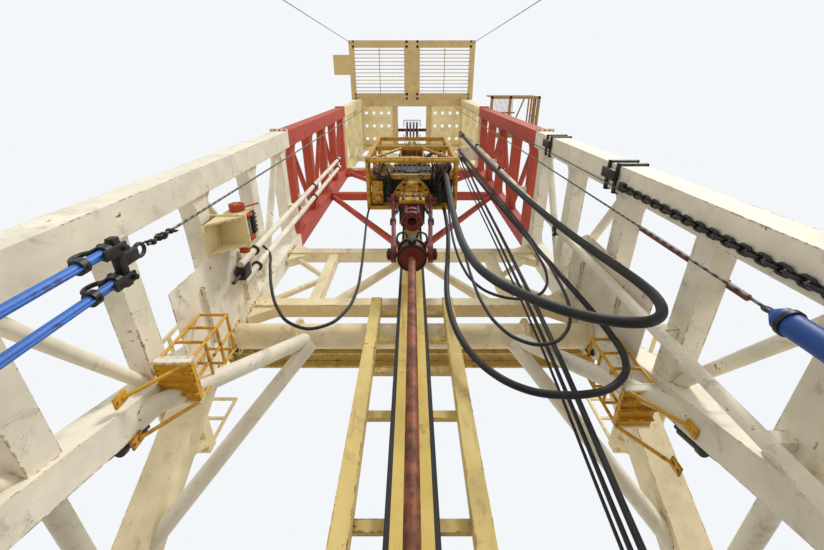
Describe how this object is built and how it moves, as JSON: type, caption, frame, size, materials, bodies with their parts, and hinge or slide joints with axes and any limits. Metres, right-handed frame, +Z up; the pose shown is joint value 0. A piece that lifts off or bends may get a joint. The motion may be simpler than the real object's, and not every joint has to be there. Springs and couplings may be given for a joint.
{
  "type": "land drilling rig",
  "caption": "Land drilling rig with an open-front steel mast on a braced substructure, an overhanging crown platform, and a top drive hoisted on drilling lines in front of a guide beam.",
  "frame": {"origin": "on the ground at the well centre, under the middle of the substructure", "axes": "+X to the right across the rig, +Y from the open front to the back of the mast, +Z up along the well"},
  "size_m": [10.8, 12, 32.8998],
  "materials": {
    "white_steel": "off-white paint, scuffed and streaked with rust",
    "cream_steel": "cream paint, weathered",
    "red_steel": "oxide red paint, dusty",
    "tan_steel": "tan paint, dusty",
    "grey_steel": "grey paint, muddy",
    "yellow_steel": "safety yellow paint, chipped to rust",
    "sheave_red": "dark red paint, greased",
    "link_red": "dark red paint, worn",
    "dark_steel": "dark oily steel",
    "drive_body": "dark paint, oily",
    "pipe_steel": "brown mill scale and rust",
    "wire_rope": "greased steel wire",
    "rubber": "matt black rubber",
    "tong_blue": "bright blue paint",
    "spinner_blue": "deep blue paint",
    "floor_plate": "worn steel chequer plate"
  },
  "bodies": {
    "rig": {"substructure_inner_left": "grey_steel", "substructure_inner_right": "grey_steel", "substructure_outer_left": "grey_steel", "substructure_outer_right": "grey_steel", "substructure_cross_beams": "grey_steel", "spreaders": "grey_steel", "rotary_beams": "grey_steel", "floor_joists": "grey_steel", "drill_floor": "floor_plate", "rotary_table": "sheave_red", "floor_railings": "yellow_steel", "mast_feet": "grey_steel", "mast_lower_left": "white_steel", "mast_lower_right": "white_steel", "mast_middle_left": "red_steel", "mast_middle_right": "red_steel", "mast_top_left": "cream_steel", "mast_top_right": "cream_steel", "main_girt": "white_steel", "back_bracing_lower": "white_steel", "back_bracing_middle": "red_steel", "back_bracing_top": "cream_steel", "a_frame_left": "white_steel", "a_frame_right": "white_steel", "brace_pipes": "white_steel", "side_platform_left": "cream_steel", "side_platform_right": "cream_steel", "rear_walkway": "yellow_steel", "crown_frame": "tan_steel", "crown_deck": "cream_steel", "crown_platform": "tan_steel", "crown_gratings": "tan_steel", "crown_shaft": "sheave_red", "racking_board": "yellow_steel", "hose_bracket": "white_steel", "guide_columns": "yellow_steel", "guide_beam": "yellow_steel", "standpipes": "white_steel", "winch": "dark_steel", "hanging_tong": "tong_blue", "hanging_spinner": "spinner_blue", "hanging_lines": "wire_rope", "guy_lines": "wire_rope", "drilling_lines": "wire_rope", "rotary_hose": "rubber", "service_hose": "rubber"},
    "crown_cluster": {"crown_sheaves": "sheave_red"},
    "hoist": {"travelling_block": "yellow_steel", "bail": "yellow_steel", "top_drive_guard": "yellow_steel", "top_drive_gearbox": "drive_body", "top_drive_motors": "yellow_steel", "gooseneck": "drive_body", "carriage": "dark_steel", "pipe_handler": "dark_steel", "links": "link_red", "elevator": "dark_steel", "drill_pipe": "pipe_steel"},
    "block_cluster": {"block_sheaves": "sheave_red"}
  },
  "joints": [
    {"name": "hoist_travel", "type": "slide", "parent": "rig", "child": "hoist", "axis": [0, 0, 1], "range_m": [-3.4, 6.5], "deforming": ["drilling_lines", "rotary_hose", "service_hose"]},
    {"name": "crown_sheave_spin", "type": "hinge", "parent": "rig", "child": "crown_cluster", "pos_m": [0, 0, 32.4], "axis": [1, 0, 0], "continuous": true},
    {"name": "block_sheave_spin", "type": "hinge", "parent": "hoist", "child": "block_cluster", "pos_m": [0, 0, 22.7], "axis": [1, 0, 0], "continuous": true}
  ]
}
